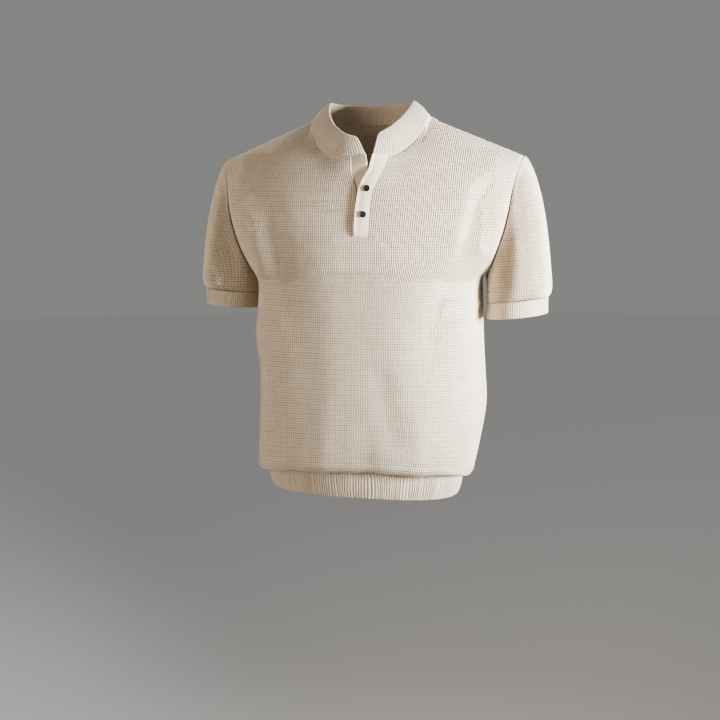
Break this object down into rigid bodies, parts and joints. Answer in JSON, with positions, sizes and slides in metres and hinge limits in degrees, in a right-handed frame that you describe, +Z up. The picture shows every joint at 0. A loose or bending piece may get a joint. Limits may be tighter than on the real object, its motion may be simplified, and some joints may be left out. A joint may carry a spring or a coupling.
{
  "type": "knitted henley polo shirt",
  "caption": "Worn short-sleeve knitted henley polo: hollow knit walls with a ribbed band collar, buttoned placket, ribbed cuffs and a ribbed waistband.",
  "frame": {"origin": "middle of the neck opening, level with the points where the shoulder seams meet the collar", "axes": "+Z up, -Y the way the wearer faces, +X the wearer's left"},
  "size_m": [0.581, 0.2519, 0.6378],
  "materials": {
    "knit": "textured tuck knit, oatmeal heather",
    "placket": "plain knit, oatmeal heather",
    "rib": "fine ribbed knit, oatmeal heather",
    "button": "polished dark horn look"
  },
  "bodies": {
    "root": {"front": "knit", "back": "knit", "sleeve_left": "knit", "sleeve_right": "knit", "placket_over": "placket", "placket_under": "placket", "cuff_left": "rib", "cuff_right": "rib", "waistband": "rib", "collar": "rib", "button_upper": "button", "button_lower": "button"}
  },
  "joints": []
}
